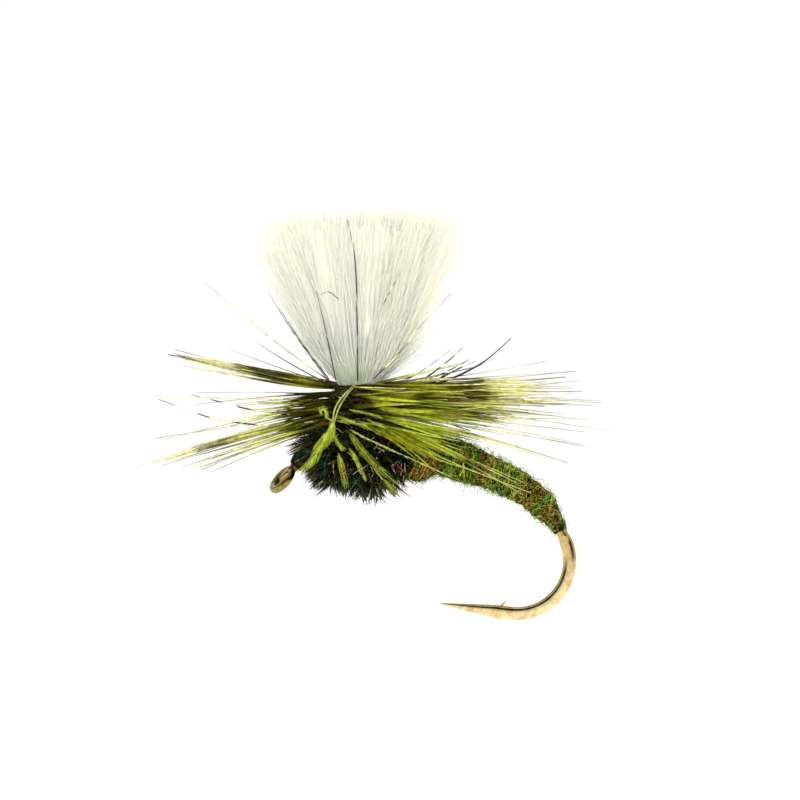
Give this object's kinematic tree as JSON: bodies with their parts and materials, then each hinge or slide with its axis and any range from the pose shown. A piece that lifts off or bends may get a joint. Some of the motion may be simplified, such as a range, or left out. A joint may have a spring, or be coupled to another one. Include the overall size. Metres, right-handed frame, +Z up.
{
  "type": "dry fly",
  "caption": "Parachute dry fly: curved hook with a dubbed abdomen, herl thorax, upright yarn wing post and a feather hackle wound flat round the post.",
  "frame": {"origin": "centre of the hole in the hook's eye", "axes": "+X from the eye to the bend, along the length of the fly; +Z up, the way the wing post stands; the hook lies in the XZ plane"},
  "size_m": [0.0212, 0.0144, 0.0206],
  "materials": {
    "bronzed_wire": "gold-bronzed, polished",
    "dark_thread": "waxed silk-like thread",
    "olive_dubbing": "fuzzy spun fibres, olive, green and brown mixed",
    "white_yarn": "combed yarn, cut square",
    "peacock_herl": "iridescent black-green fibres",
    "olive_quill": "feather quill, satin",
    "olive_hackle": "barred feather fibres, glossy",
    "head_lacquer": "clear lacquer over dark thread"
  },
  "bodies": {
    "root": {"hook": "bronzed_wire", "shank_thread_base": "dark_thread", "rear_tie_in_wraps": "dark_thread", "abdomen_dubbing": "olive_dubbing", "wing_post": "white_yarn", "post_lashing_wraps": "dark_thread", "post_base_wraps": "dark_thread", "thorax_herl_front": "peacock_herl", "thorax_herl_middle": "peacock_herl", "thorax_herl_rear": "peacock_herl", "hackle_quill": "olive_quill", "hackle_barbs_turn_1": "olive_hackle", "hackle_barbs_turn_2": "olive_hackle", "hackle_barbs_turn_3": "olive_hackle", "hackle_barbs_turn_4": "olive_hackle", "hackle_barbs_turn_5": "olive_hackle", "hackle_barbs_turn_6": "olive_hackle", "hackle_tip": "olive_hackle", "hackle_tie_off_wraps": "dark_thread", "head_thread": "dark_thread", "head_cement": "head_lacquer"}
  },
  "joints": []
}
